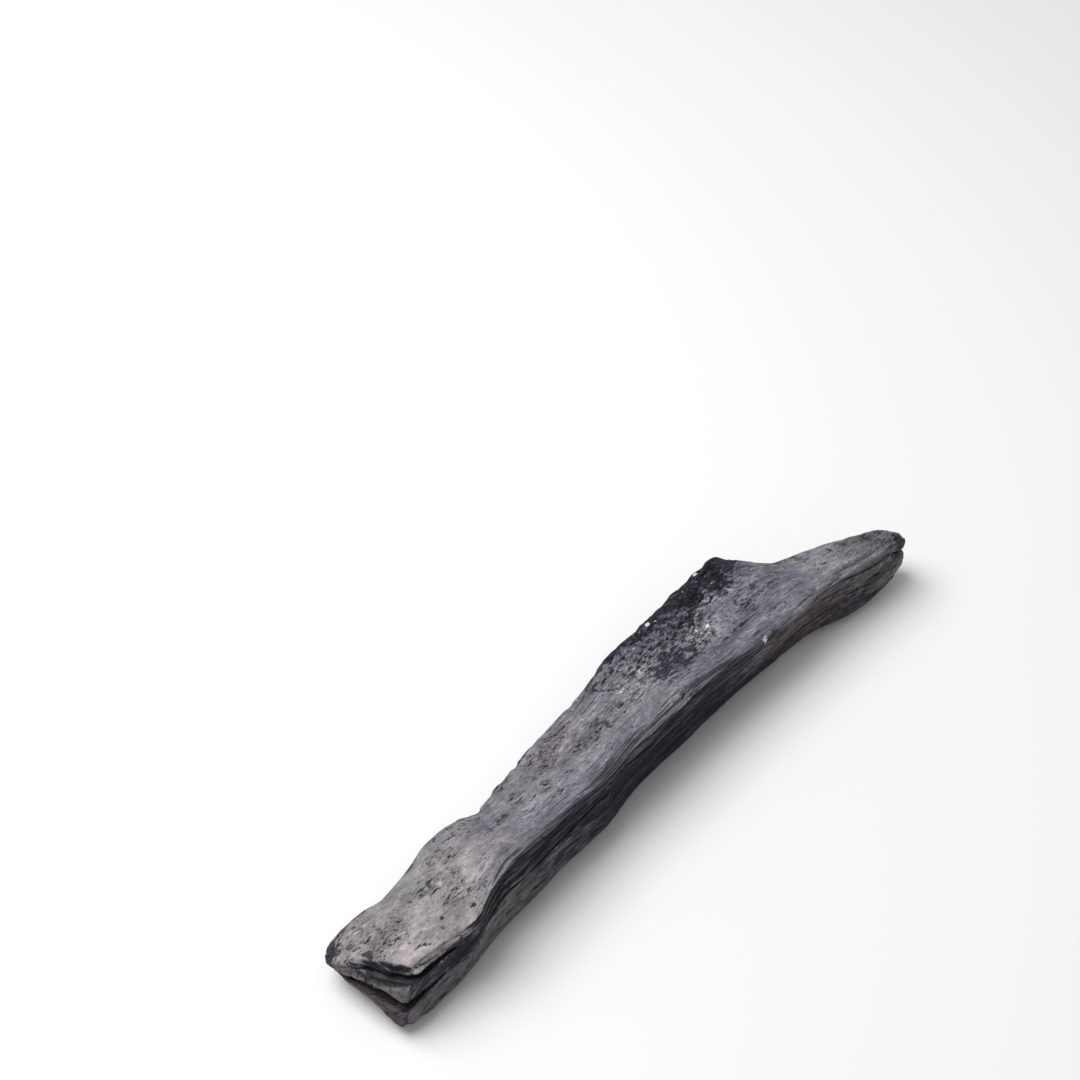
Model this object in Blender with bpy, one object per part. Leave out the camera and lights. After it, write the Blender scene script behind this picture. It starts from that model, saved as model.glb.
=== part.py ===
"""A split stick of natural wood charcoal, one grown and burnt piece, in metres with +Z up.

It lies on its belly along X. The near end, at -X, is broken off square and has split into three
layers. The far end, at +X, narrows to a blunt tip with two lobes. A knot swells from the thin
edge, at +Y, and the tall side, at -Y, is a steep split wall.
"""

import math

import bmesh
import bpy
import numpy as np
from mathutils import Vector, noise

MM = 0.001

# Outline curves: (distance from the near end, value), both in mm.
# Outward is +Y, and heights are above the ground.
LENGTH = 296.5
THIN_EDGE_OUT = [
    (0, 27.0), (9, 28.6), (19, 28.4), (29, 26.2), (45, 27.6), (55, 29.6), (66, 29.4), (76, 25.4),
    (90, 26.6), (107, 28.4), (127, 30.2), (152, 32.2), (159, 35.8), (184, 36.4), (208, 38.6),
    (226, 38.4), (233, 35.6), (238, 26.0), (244, 17.4), (252, 12.6), (262, 8.2), (276, 0.8),
    (286, -4.4), (296, -8.0),
]
THIN_EDGE_UP = [
    (0, 11.0), (30, 14.0), (60, 16.0), (100, 18.5), (150, 20.5), (205, 22.0), (232, 23.5),
    (244, 25.2), (262, 28.0), (276, 27.6), (286, 25.8), (296, 23.5),
]
RIDGE_OUT = [
    (0, -8.5), (12, -10.5), (22, -11.8), (30, -13.2), (37, -14.6), (46, -11.4), (56, -8.8),
    (90, -8.6), (108, -9.4), (130, -8.6), (165, -8.6), (190, -10.0), (212, -11.2), (233, -12.6),
    (254, -14.2), (276, -18.0), (296, -20.2),
]
RIDGE_UP = [
    (0, 28.0), (12, 29.6), (28, 29.2), (37, 32.0), (60, 33.0), (90, 32.8), (112, 31.4),
    (130, 32.8), (165, 32.0), (200, 31.6), (233, 31.4), (256, 31.6), (276, 29.6), (296, 26.0),
]
WALL_FOOT_OUT = [
    (0, -14.6), (10, -15.0), (26, -14.6), (44, -13.2), (74, -12.3), (108, -12.2), (134, -9.6),
    (150, -9.2), (176, -9.8), (226, -11.2), (252, -15.6), (276, -19.2), (296, -20.2),
]
BACK_FOOT_OUT = [
    (0, 25.0), (20, 22.5), (60, 21.5), (110, 21.0), (160, 25.0), (205, 27.5), (226, 26.0),
    (238, 19.0), (248, 12.0), (262, 6.4), (276, 0.2), (296, -7.0),
]
# Height of the underside near the tall wall and near the back. Where it dips below 0 it is flat.
UNDER_WALL_UP = [
    (0, 1.6), (16, -0.6), (40, -0.5), (70, 1.2), (120, 2.2), (190, 2.0), (232, -0.4),
    (266, -0.7), (282, 1.6), (296, 4.0),
]
UNDER_BACK_UP = [
    (0, 5.2), (14, 3.4), (30, 0.6), (60, 1.2), (110, 0.2), (150, -0.8), (195, -0.7),
    (222, 0.8), (245, 1.0), (266, 0.4), (282, 2.0), (296, 4.5),
]
THIN_EDGE_ROUND = [(0, 2.5), (150, 3.0), (200, 6.0), (236, 6.0), (250, 8.0), (264, 12.0), (296, 10.0)]
RIDGE_ROUND = [(0, 2.0), (200, 3.0), (240, 5.0), (262, 9.0), (282, 12.0), (296, 12.0)]
WALL_FOOT_ROUND = [(0, 8.0), (40, 10.0), (150, 12.0), (296, 12.0)]
BACK_FOOT_ROUND = [(0, 1.5), (30, 4.0), (100, 6.0), (240, 8.0), (296, 9.0)]
# How far the sides bow outward at their middle. The top is dished before the knot.
TOP_BOW = [(0, 0.6), (60, 1.4), (120, 0.2), (175, -0.9), (215, -1.4), (240, 0.4), (262, 1.4), (296, 0.8)]
WALL_BOW = 0.6
BACK_BOW = 1.0
FULL_BOW_SIDE = 20.0
SIDE_SHARE = 0.45

# Mesh density: ring spacing along the stick, and points in each span from corner to corner.
FIRST_RING = 1.8
LAST_GAP = 1.5
RING_STEP = 3.8
KNOT_RING_STEP = 2.2
KNOT_SPAN = (226.0, 252.0)
SPAN_POINTS = (16, 12, 12, 9)
HALF_ARC = 6
SIDE_SAMPLES = 16
TURN_WEIGHT = 6.0

# Near end: the broken face leans back as it rises, and its rim is worn.
NEAR_LEAN = 0.5
NEAR_LEAN_FROM_UP = 9.0
NEAR_SKEW = 0.06
NEAR_SKEW_FROM_OUT = 27.0
NEAR_END_SPAN = 38.0
NEAR_RIM = 0.955
CAP_SHARES = (0.72, 0.46, 0.22)
FACE_RELIEF, FACE_GRAIN = 0.8, 6.0

# Far end: a rounded tip with a cleft between two lobes, which runs back along the wall as a groove.
TIP_SPAN = 17.0
TIP_RINGS = 8
TIP_SQUARENESS = 2.4
TIP_SMALLEST = 0.34
CLEFT_UP = 15.5
CLEFT_WIDTH = 2.6
CLEFT_DEPTH = 6.5
GROOVE_SPAN = (196.0, 296.0)
GROOVE_GROWTH = 0.6
GROOVE_FROM_OUT = -6.0
GROOVE_DEPTH = 2.6
GROOVE_FALL = 0.03

# Surface relief.
LUMP_SIZE, LUMP_HEIGHT = 30.0, 0.9
FIBRE_LENGTH, FIBRE_WIDTH, FIBRE_HEIGHT = 60.0, 5.0, 0.55
KNOT_CENTRE = (212.0, 31.0)
KNOT_REACH = (34.0, 15.0)
KNOT_GRAIN, KNOT_HEIGHT = 7.0, 1.5

# Splits: (distance from the near end, how far in the split reaches along +Y, height at the wall).
LOWER_SPLIT = [
    (-8, 40.0, 12.0), (1, 27.0, 12.2), (8, 15.0, 13.4), (18, 4.0, 15.6), (36, -3.0, 18.6),
    (46, -3.5, 22.0), (58, -4.0, 23.6), (80, -5.0, 23.4), (105, -7.0, 24.6), (126, -10.0, 23.0),
]
LOWER_SPLIT_FALL = 0.2
LOWER_SPLIT_OPEN = [(-8, 3.4), (10, 2.8), (40, 2.0), (80, 1.7), (126, 0.9)]
UPPER_SPLIT = [(-8, 22.0, 22.0), (3, 14.0, 22.6), (12, 6.0, 23.6), (20, -3.0, 25.0), (31, -10.0, 26.6)]
UPPER_SPLIT_FALL = 0.42
UPPER_SPLIT_OPEN = [(-8, 4.2), (8, 3.6), (18, 2.4), (31, 0.9)]
SPLIT_OUTER = -34.0
SPLIT_TIP = 0.3
SPLIT_MIDDLE = 0.8
WALL_PLANE = -13.0

CHARCOAL_COLOUR = (0.17, 0.16, 0.175, 1.0)
CHARCOAL_ROUGHNESS = 0.6


def smooth_curve(points, at):
    """The value at a distance of a smooth curve through the points, with no overshoot."""
    xs, ys = np.array(points, float).T
    at = min(max(at, xs[0]), xs[-1])
    slopes = np.diff(ys) / np.diff(xs)
    tangents = np.concatenate([slopes[:1], np.zeros(len(xs) - 2), slopes[-1:]])
    for i in range(1, len(xs) - 1):
        before, after = slopes[i - 1], slopes[i]
        if before * after > 0:
            tangents[i] = 2 * before * after / (before + after)
    i = min(int(np.searchsorted(xs, at, side="right")) - 1, len(xs) - 2)
    span = xs[i + 1] - xs[i]
    t = (at - xs[i]) / span
    start = (1 + 2 * t) * (1 - t) ** 2 * ys[i] + t * (1 - t) ** 2 * span * tangents[i]
    end = t * t * (3 - 2 * t) * ys[i + 1] + t * t * (t - 1) * span * tangents[i + 1]
    return float(start + end)


def rounded_outline(corners, rounds, bows):
    """A closed outline with rounded corners and gently bowed sides, in a span from corner to corner.

    Each span has its own number of points, set closer together where the outline turns.
    """
    corners = [np.array(c) for c in corners]
    count = len(corners)
    arcs = []
    for i, corner in enumerate(corners):
        before = corners[i - 1] - corner
        after = corners[(i + 1) % count] - corner
        lengths = np.linalg.norm(before), np.linalg.norm(after)
        reach = min(rounds[i], SIDE_SHARE * lengths[0], SIDE_SHARE * lengths[1])
        start = corner + before / lengths[0] * reach
        end = corner + after / lengths[1] * reach
        turn = np.linspace(0, 1, 2 * HALF_ARC + 1)[:, None]
        arcs.append((1 - turn) ** 2 * start + 2 * turn * (1 - turn) * corner + turn**2 * end)
    outline = []
    for i in range(count):
        arc, following = arcs[i], arcs[(i + 1) % count]
        side = following[0] - arc[-1]
        length = np.linalg.norm(side)
        outward = np.array([side[1], -side[0]]) / length
        bow = bows[i] * min(1.0, length / FULL_BOW_SIDE)
        t = np.linspace(0, 1, SIDE_SAMPLES + 1)[1:-1, None]
        bowed = arc[-1] + side * t + outward * bow * 4 * t * (1 - t)
        span = np.concatenate([arc[HALF_ARC:], bowed, following[: HALF_ARC + 1]])
        outline.append(spaced_by_turn(span, SPAN_POINTS[i]))
    return np.concatenate(outline)


def spaced_by_turn(line, count):
    """The line again with a set number of points, without its last, closer where it turns."""
    steps = np.diff(line, axis=0)
    lengths = np.linalg.norm(steps, axis=1)
    headings = np.unwrap(np.arctan2(steps[:, 1], steps[:, 0]))
    turns = np.abs(np.diff(headings, prepend=headings[0], append=headings[-1]))
    measure = np.concatenate([[0], np.cumsum(lengths + TURN_WEIGHT * 0.5 * (turns[:-1] + turns[1:]))])
    at = np.linspace(0, measure[-1], count + 1)[:-1]
    return np.stack([np.interp(at, measure, line[:, axis]) for axis in (0, 1)], axis=1)


def outline_at(along):
    """The section of the stick at a distance from its near end, as (outward, up) in mm."""
    corners = [
        (smooth_curve(THIN_EDGE_OUT, along), smooth_curve(THIN_EDGE_UP, along)),
        (smooth_curve(RIDGE_OUT, along), smooth_curve(RIDGE_UP, along)),
        (smooth_curve(WALL_FOOT_OUT, along), smooth_curve(UNDER_WALL_UP, along)),
        (smooth_curve(BACK_FOOT_OUT, along), smooth_curve(UNDER_BACK_UP, along)),
    ]
    rounds = [
        smooth_curve(THIN_EDGE_ROUND, along),
        smooth_curve(RIDGE_ROUND, along),
        smooth_curve(WALL_FOOT_ROUND, along),
        smooth_curve(BACK_FOOT_ROUND, along),
    ]
    bows = [smooth_curve(TOP_BOW, along), WALL_BOW, 0.0, BACK_BOW]
    return rounded_outline(corners, rounds, bows)


def groove_at(along, out, up):
    """Depth of the groove that runs back from the cleft along the wall."""
    start, end = GROOVE_SPAN
    if out > GROOVE_FROM_OUT or along < start:
        return 0.0
    grown = min(1.0, (along - start) / (GROOVE_GROWTH * (end - start)))
    share = math.sin(0.5 * math.pi * grown)
    height = CLEFT_UP - GROOVE_FALL * (end - along)
    return GROOVE_DEPTH * share * math.exp(-(((up - height) / CLEFT_WIDTH) ** 2))


def relief_at(along, out, up):
    """How far the surface stands out at a point: lumps, long fibres and the rough knot."""
    lump = LUMP_HEIGHT * noise.noise(Vector((along, out, up)) / LUMP_SIZE)
    fibre_point = Vector((along / FIBRE_LENGTH, out / FIBRE_WIDTH, up / FIBRE_WIDTH))
    fibre = FIBRE_HEIGHT * noise.noise(fibre_point)
    reach = ((along - KNOT_CENTRE[0]) / KNOT_REACH[0]) ** 2 + ((out - KNOT_CENTRE[1]) / KNOT_REACH[1]) ** 2
    roughness = noise.fractal(Vector((along, out, up)) / KNOT_GRAIN, 1.0, 2.0, 3)
    knot = KNOT_HEIGHT * math.exp(-reach) * roughness
    return lump + fibre + knot - groove_at(along, out, up)


def raised(outline, along):
    """The outline with its relief, and never below the ground."""
    before, after = np.roll(outline, 1, axis=0), np.roll(outline, -1, axis=0)
    tangent = after - before
    outward = np.stack([tangent[:, 1], -tangent[:, 0]], axis=1)
    outward /= np.linalg.norm(outward, axis=1, keepdims=True)
    heights = [relief_at(along, out, up) for out, up in outline]
    moved = outline + outward * np.array(heights)[:, None]
    moved[:, 1] = np.maximum(moved[:, 1], 0.0)
    return moved


def ring_places():
    """Distances of the rings, closer together where the knot ends."""
    places = [FIRST_RING]
    while places[-1] < LENGTH - TIP_SPAN - LAST_GAP * RING_STEP:
        inside = KNOT_SPAN[0] <= places[-1] <= KNOT_SPAN[1]
        places.append(places[-1] + (KNOT_RING_STEP if inside else RING_STEP))
    return places


def near_end_shift(along, out, up):
    """The near face leans back with height and towards the wall, and this fades out along the stick."""
    lean = NEAR_LEAN * max(0.0, up - NEAR_LEAN_FROM_UP)
    skew = NEAR_SKEW * (NEAR_SKEW_FROM_OUT - out)
    return (lean + skew) * max(0.0, 1.0 - along / NEAR_END_SPAN)


def tip_rings():
    """Rings of the blunt far end: each shrinks to the middle, and the cleft holds them back."""
    rings = []
    base = LENGTH - TIP_SPAN
    for turn in np.linspace(0, 0.5 * math.pi, TIP_RINGS):
        along = base + TIP_SPAN * math.sin(turn)
        outline = raised(outline_at(along), along)
        middle = outline.mean(axis=0)
        share = max(TIP_SMALLEST, math.cos(turn) ** (2 / TIP_SQUARENESS))
        shrunk = middle + (outline - middle) * share
        held = CLEFT_DEPTH * math.sin(turn) ** 2 * np.exp(-(((shrunk[:, 1] - CLEFT_UP) / CLEFT_WIDTH) ** 2))
        rings.append([(along - back, out, up) for back, (out, up) in zip(held, shrunk)])
    return rings


def near_face_at(out, up):
    """Distance along the stick of the broken near face, with its roughness."""
    roughness = FACE_RELIEF * noise.noise(Vector((0.0, out, up)) / FACE_GRAIN)
    return near_end_shift(0.0, out, up) + roughness


def near_cap_rings():
    """Rings of the broken near face, from its middle out to its worn rim."""
    outline = raised(outline_at(0.0), 0.0)
    middle = outline.mean(axis=0)
    rings = []
    for share in sorted(CAP_SHARES) + [NEAR_RIM]:
        shrunk = middle + (outline - middle) * share
        rings.append([(near_face_at(out, up), out, up) for out, up in shrunk])
    return rings


def body_rings():
    """Rings of the stick between its two ends."""
    rings = []
    for along in ring_places():
        outline = raised(outline_at(along), along)
        rings.append([(along + near_end_shift(along, out, up), out, up) for out, up in outline])
    return rings


def fan_cap(mesh, loop):
    """Closes a loop with triangles that meet at its middle."""
    centre = mesh.verts.new(sum((v.co for v in loop), Vector()) / len(loop))
    for i in range(len(loop)):
        mesh.faces.new((loop[i], loop[(i + 1) % len(loop)], centre))


def ladder_cap(mesh, loop):
    """Closes a long flat loop with quads from its first half to its second."""
    for i in range(len(loop) // 2 - 1):
        mesh.faces.new((loop[i], loop[i + 1], loop[-2 - i], loop[-1 - i]))


def mesh_from_rings(name, rings, cap):
    """A closed mesh through rings of equal length, with a cap at each end."""
    mesh = bmesh.new()
    loops = [[mesh.verts.new(Vector(point) * MM) for point in ring] for ring in rings]
    for first, second in zip(loops, loops[1:]):
        for i in range(len(first)):
            j = (i + 1) % len(first)
            mesh.faces.new((first[i], first[j], second[j], second[i]))
    cap(mesh, loops[0])
    cap(mesh, loops[-1])
    bmesh.ops.recalc_face_normals(mesh, faces=mesh.faces)
    data = bpy.data.meshes.new(name)
    mesh.to_mesh(data)
    mesh.free()
    placed = bpy.data.objects.new(name, data)
    bpy.context.scene.collection.objects.link(placed)
    return placed


def split_cutter(name, path, opening, fall):
    """A thin warped wedge: widest outside the wall, and closing to its inner line."""
    rings = []
    for along, inner, wall_up in path:
        half = 0.5 * smooth_curve(opening, along)
        half_tip = 0.5 * SPLIT_TIP
        inner_up = wall_up - fall * (inner - WALL_PLANE)
        middle = 0.5 * (WALL_PLANE + inner)
        middle_up = 0.5 * (wall_up + inner_up)
        rings.append([
            (along, SPLIT_OUTER, wall_up - half),
            (along, WALL_PLANE, wall_up - half),
            (along, middle, middle_up - SPLIT_MIDDLE * half),
            (along, inner, inner_up - half_tip),
            (along, inner, inner_up + half_tip),
            (along, middle, middle_up + SPLIT_MIDDLE * half),
            (along, WALL_PLANE, wall_up + half),
            (along, SPLIT_OUTER, wall_up + half),
        ])
    cutter = mesh_from_rings(name, rings, ladder_cap)
    cutter.hide_render = True
    cutter.display_type = "WIRE"
    return cutter


def cut(target, cutter):
    """Takes a cutter's shape out of a solid."""
    modifier = target.modifiers.new(cutter.name, "BOOLEAN")
    modifier.operation = "DIFFERENCE"
    modifier.solver = "EXACT"
    modifier.object = cutter


def charcoal_material():
    """Dull grey-black charcoal."""
    material = bpy.data.materials.new("charcoal")
    material.use_nodes = True
    shader = material.node_tree.nodes["Principled BSDF"]
    shader.inputs["Base Color"].default_value = CHARCOAL_COLOUR
    shader.inputs["Roughness"].default_value = CHARCOAL_ROUGHNESS
    shader.inputs["Metallic"].default_value = 0.0
    material.diffuse_color = CHARCOAL_COLOUR
    return material


def centre_on_ground(objects):
    """Moves every mesh so that the first one's box is centred over the origin and sits on z = 0."""
    points = np.array([v.co for v in objects[0].data.vertices])
    low, high = points.min(axis=0), points.max(axis=0)
    shift = Vector((-(low[0] + high[0]) / 2, -(low[1] + high[1]) / 2, -low[2]))
    for thing in objects:
        for vertex in thing.data.vertices:
            vertex.co += shift


def main():
    for thing in list(bpy.data.objects):
        bpy.data.objects.remove(thing, do_unlink=True)
    rings = near_cap_rings() + body_rings() + tip_rings()
    stick = mesh_from_rings("charcoal_stick", rings, fan_cap)
    stick.data.materials.append(charcoal_material())
    lower = split_cutter("lower_split", LOWER_SPLIT, LOWER_SPLIT_OPEN, LOWER_SPLIT_FALL)
    upper = split_cutter("upper_split", UPPER_SPLIT, UPPER_SPLIT_OPEN, UPPER_SPLIT_FALL)
    centre_on_ground([stick, lower, upper])
    cut(stick, lower)
    cut(stick, upper)


main()
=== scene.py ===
"""Natural charcoal stick: its burnt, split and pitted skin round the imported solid, and its stage."""

import itertools
import math

import bmesh
import bpy
import numpy as np
from bpy.props import FloatProperty, FloatVectorProperty, PointerProperty
from mathutils import Matrix, Vector
from mathutils.bvhtree import BVHTree


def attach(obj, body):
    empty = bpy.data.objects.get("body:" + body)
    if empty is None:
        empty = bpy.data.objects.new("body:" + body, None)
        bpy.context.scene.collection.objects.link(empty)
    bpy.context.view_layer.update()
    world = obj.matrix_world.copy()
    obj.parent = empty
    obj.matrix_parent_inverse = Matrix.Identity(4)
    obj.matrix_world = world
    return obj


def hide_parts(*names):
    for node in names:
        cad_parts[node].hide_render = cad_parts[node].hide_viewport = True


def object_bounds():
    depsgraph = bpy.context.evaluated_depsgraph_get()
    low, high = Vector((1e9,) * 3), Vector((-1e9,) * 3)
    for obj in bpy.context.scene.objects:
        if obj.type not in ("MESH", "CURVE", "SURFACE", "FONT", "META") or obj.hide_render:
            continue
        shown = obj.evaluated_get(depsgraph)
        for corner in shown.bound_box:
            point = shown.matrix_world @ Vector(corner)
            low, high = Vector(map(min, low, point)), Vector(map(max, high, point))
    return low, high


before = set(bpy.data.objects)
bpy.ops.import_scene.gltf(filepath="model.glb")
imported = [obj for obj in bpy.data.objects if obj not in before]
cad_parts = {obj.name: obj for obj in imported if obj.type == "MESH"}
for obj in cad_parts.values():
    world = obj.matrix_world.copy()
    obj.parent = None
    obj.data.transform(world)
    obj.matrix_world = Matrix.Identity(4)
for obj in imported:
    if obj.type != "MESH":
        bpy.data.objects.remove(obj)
CAD_BOX = [list(corner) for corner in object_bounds()]

bl_info = {
    "name": "Charcoal Stick",
    "version": (1, 0, 0),
    "blender": (4, 5, 0),
    "location": "3D View > Sidebar > Charcoal",
    "description": "Builds a stick of natural wood charcoal with its grain, pits, knot and splits",
    "category": "Object",
}

NODE = "charcoal_stick"
MM = 0.001
# The small faces are this many times longer along the grain than across it.
FACE_STRETCH = 2.4

# Groups of short pits on the top: x, y, half length, half width in mm and how dense.
PIT_GROUPS = (
    (-98, 10, 6, 6, 1.0),
    (-101, 0, 6, 6, 1.0),
    (-105, -9, 6, 5, 0.9),
    (-110, 5, 5, 5, 0.8),
    (-132, 0, 9, 6, 1.0),
    (-139, 10, 6, 6, 0.8),
    (-84, 14, 12, 5, 0.6),
    (-66, 2, 12, 5, 0.6),
    (-38, 11, 14, 6, 1.0),
    (-51, -1, 8, 4, 0.9),
    (-20, 5, 16, 6, 0.6),
    (72, 26, 8, 5, 0.9),
    (79, -1, 14, 4, 0.9),
    (100, 2, 16, 5, 0.6),
    (128, -12, 10, 6, 0.8),
    (136, -15, 7, 7, 1.0),
    (118, -10, 7, 4, 0.8),
)

# Sooty patches on the top: x, y, half length, half width in mm and how dark.
SOOT_PATCHES = (
    (29, 2, 17, 7, 1.25),
    (15, 13, 12, 6, 0.75),
    (44, 10, 22, 6, 0.75),
    (2, 19, 12, 3, 0.7),
    (-62, 19, 12, 2.5, 0.6),
    (52, -8, 12, 2.5, 0.6),
    (86, 14, 10, 6, 0.5),
    (-145, 6, 3, 20, 0.5),
    (122, -14, 10, 4, 0.45),
)

# Pale rubbed patches on the top: x, y, half length, half width in mm and how strong.
SCUFF_PATCHES = (
    (48, 2, 12, 5, 1.0),
    (16, 10, 8, 4, 0.9),
    (5, 4, 9, 6, 0.9),
    (15, -12, 9, 4, 0.8),
    (-12, 0, 14, 5, 0.4),
    (96, 8, 16, 6, 0.25),
    (-100, -16, 10, 2.5, 0.7),
    (-129, -17, 8, 2.5, 0.9),
    (62, 13, 6, 3, 0.7),
)

# Pinkish patches on the top: x, y, half length, half width in mm and how strong.
PINK_PATCHES = (
    (-128, -9, 12, 7, 1.0),
    (-133, 9, 9, 6, 0.8),
    (-95, -6, 16, 8, 0.5),
    (-28, 11, 16, 6, 0.6),
    (86, -22, 18, 5, 0.4),
)

# How light and warm the top is along the stick: x and lightness.
PALE_ALONG = (
    (-148, 1.0), (-98, 0.95), (-66, 0.55), (-25, 0.45), (20, 0.4), (62, 0.1), (100, 0.45), (146, 0.45),
)

# Bluish darker patches on the top: x, y, half length, half width in mm and how strong.
BLUE_PATCHES = (
    (-70, -10, 22, 6, 0.7),
    (-78, 3, 10, 6, 0.5),
    (-30, -10, 22, 5, 0.6),
    (-8, 9, 14, 8, 0.5),
    (22, -4, 16, 7, 0.4),
    (74, 6, 16, 12, 0.7),
)

# Cracks, creases and nicks: half width and depth in mm, then the points that each runs through.
GROOVES = (
    (1.1, 0.6, ((-1, 18, 22), (2, 12, 23.5), (6, 8, 24.5))),
    (0.8, 0.6, ((-119, -13, 27), (-117, -21, 26))),
    (0.7, 0.4, ((-132, -13, 27), (-121, -12, 27))),
    (1.6, 1.3, ((14, -13, 31.5), (20, -18, 29))),
    (1.1, 0.8, ((9, -16, 31), (14, -13, 31.5))),
    (1.4, 1.8, ((49, -2, 26), (50.5, 1, 26))),
    (1.4, 1.9, ((-148, 18, 7.2), (-147.6, 13, 8.4), (-147.2, 8, 10.0), (-146.4, 3, 11.6))),
    (0.9, 1.4, ((-142.8, -1, 17.2), (-143.6, 3, 16.4), (-144.6, 7, 15), (-145.4, 11, 13.4))),
    (0.8, 0.9, ((-141.4, -3, 20.6), (-140.4, -8, 22.4), (-138.8, -14, 24.6))),
    (0.6, 0.8, ((-142.9, -10, 16.2), (-142.5, -14.7, 15.6), (-141.3, -19.7, 16.3), (-142.8, -19, 14.3))),
    (0.7, 0.9, ((-144, -20.5, 10.5), (-145.5, -21, 7), (-146, -20.5, 4))),
    (0.9, 0.9, ((-136, -18.3, 25), (-126, -20, 25.2), (-118, -21.5, 24.6))),
    (0.8, 0.8, ((-133, -18.8, 27.5), (-124, -20, 27.6), (-112, -21.5, 28))),
)

# The cleft between the tip's two lobes, which runs back under the arris: x, z and depth in mm.
CLEFT = (
    (151, 14.6, 3.4),
    (143, 16.0, 3.4),
    (139, 18.2, 2.8),
    (134, 21.2, 1.6),
    (129, 23.6, 0.9),
    (122, 25.4, 0.6),
    (112, 27.0, 0.3),
)
# How much the tip swells, and where its upper lobe is capped with soot.
TIP_SWELL = 0.7
DARK_CAP_AT = (141.5, -26.0, 22.5)

# The sooty left corner of the broken end, and how dark it is.
CORNER_AT = (-146.0, 16.0, 11.0)
CORNER_SOOT = 1.1

# Chips out of the arris: x, half length and depth in mm.
ARRIS_CHIPS = (
    (-110, 3.0, 0.5),
    (-116, 4.0, 0.7),
    (-82, 4.0, 0.5),
    (-47, 6.0, 0.7),
    (17, 4.0, 1.0),
    (62, 5.0, 0.7),
    (108, 6.0, 0.6),
)

# Rounded corners of the layers at the broken end: half width and depth in mm, then their points.
WORN_CORNERS = (
    (4.5, 1.7, ((-136, -17.5, 28.5), (-139.5, -17.8, 27), (-141.5, -18.4, 24))),
    (3.5, 1.0, ((-143.5, -20.5, 19), (-145.8, -21.8, 13))),
    (4.5, 1.1, ((-134, -17.8, 28.5), (-128, -18.7, 28.6), (-119, -20.5, 28.5))),
    (3.0, 0.9, ((-145.5, 17.0, 12.5), (-147.2, 17.5, 8.5))),
)

# Notches, or with a depth below 0 bumps, on the thin edge: x, half length and depth in mm.
THIN_EDGE_CHIPS = (
    (-70, 2.6, 1.1),
    (-76, 3.0, -0.5),
    (-58, 3.4, -0.6),
    (-46, 2.6, 0.7),
    (-12, 3.0, 0.5),
    (82, 5.0, -1.5),
    (91, 5.0, 0.8),
)

# How dark the band along the arris is, on its wall side and on the top: x and darkness.
ARRIS_WALL_SIDE = (
    (-126, 0.0), (-116, 0.5), (-105, 0.65), (-84, 1.0), (28, 0.85), (50, 0.45), (72, 0.1),
)
ARRIS_TOP_SIDE = (
    (-112, 0.0), (-92, 0.5), (-66, 1.0), (20, 0.9), (40, 0.75), (70, 0.5), (95, 0.0),
)

# Long cracks on the wall: start x, end x, how far below the arris at each in mm, and how deep.
WALL_CRACKS = (
    (-128, -80, 6.5, 2.0, 1.0),
    (-122, -62, 9.5, 4.5, 1.0),
    (-112, -74, 8.0, 7.0, 0.7),
    (-86, -30, 3.0, 6.0, 0.8),
    (-52, 20, 4.5, 3.0, 0.8),
    (-20, 60, 9.0, 7.0, 0.6),
    (30, 118, 4.0, 8.0, 0.7),
    (66, 134, 10.0, 12.0, 0.8),
    (82, 140, 2.0, 5.5, 0.8),
    (60, 124, 6.5, 9.0, 0.7),
    (98, 142, 7.0, 8.5, 0.6),
    (-108, -58, 5.0, 9.0, 0.7),
    (-10, 34, 17.0, 15.0, 0.6),
)

# The two splits at the broken end: x, the y that each reaches in to, its z at the wall and how wide
# it is there, in mm.
UPPER_SPLIT = (
    (-156, 13.3, 22.0, 4.2),
    (-145, 5.3, 22.6, 3.9),
    (-136, -2.7, 23.6, 3.2),
    (-128, -11.7, 25.0, 2.2),
    (-117, -18.7, 26.6, 0.9),
)
LOWER_SPLIT = (
    (-156, 31.3, 12.0, 3.4),
    (-147, 18.3, 12.2, 3.2),
    (-140, 6.3, 13.4, 2.8),
    (-130, -4.7, 15.6, 2.6),
    (-112, -11.7, 18.6, 2.0),
    (-102, -12.2, 22.0, 1.9),
    (-90, -12.7, 23.6, 1.8),
    (-68, -13.7, 23.4, 1.7),
    (-43, -15.7, 24.6, 1.2),
    (-22, -18.7, 23.0, 0.9),
)
# How far each split falls for each mm inward from the wall, and the wall's y.
UPPER_FALL = 0.42
LOWER_FALL = 0.2
WALL_PLANE = -21.7

# The underside and the top near the broken end: a y, the z there and the rise for each mm of y.
UNDERSIDE = (-23.0, 1.6, 0.09)
TOP_FACE = (-18.0, 28.8, -0.46)
# The thinnest that a layer gets, in mm.
LEAST_LAYER = 1.0

# How far the broken end's layers bend up: y, then the rise in mm of the underside, of the lower
# split and of the upper split.
LAYER_RISE = (
    (-23, 0.0, 0.4, 2.9),
    (-20, 0.0, 0.8, 2.9),
    (-15.5, 2.2, 1.9, 1.7),
    (-10, 4.2, 3.5, 1.6),
    (-5, 4.6, 4.3, 2.4),
    (1.5, 4.3, 4.5, 3.8),
    (9, 2.8, 3.5, 4.5),
    (14, 1.2, 2.8, 3.9),
    (18, 0.0, 2.5, 3.0),
)

# How far the upper split dips on the wall behind the broken end, and how deep the gaps are that the
# broken face shows under its two upper layers, in mm.
WALL_DIP = 4.0
RIM_GAP_DEPTH = 1.7

# The broken face: its x low down, the z from which it leans back and how far for each mm of height,
# and the y from which it is skewed and how far for each mm towards the wall.
BROKEN_FACE_X = -148.0
LEAN_FROM, LEAN = 9.0, 0.5
SKEW_FROM, SKEW = 18.3, 0.06
# The foot of the wall: its y and z.
WALL_FOOT = (-22.7, 2.0)

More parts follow.
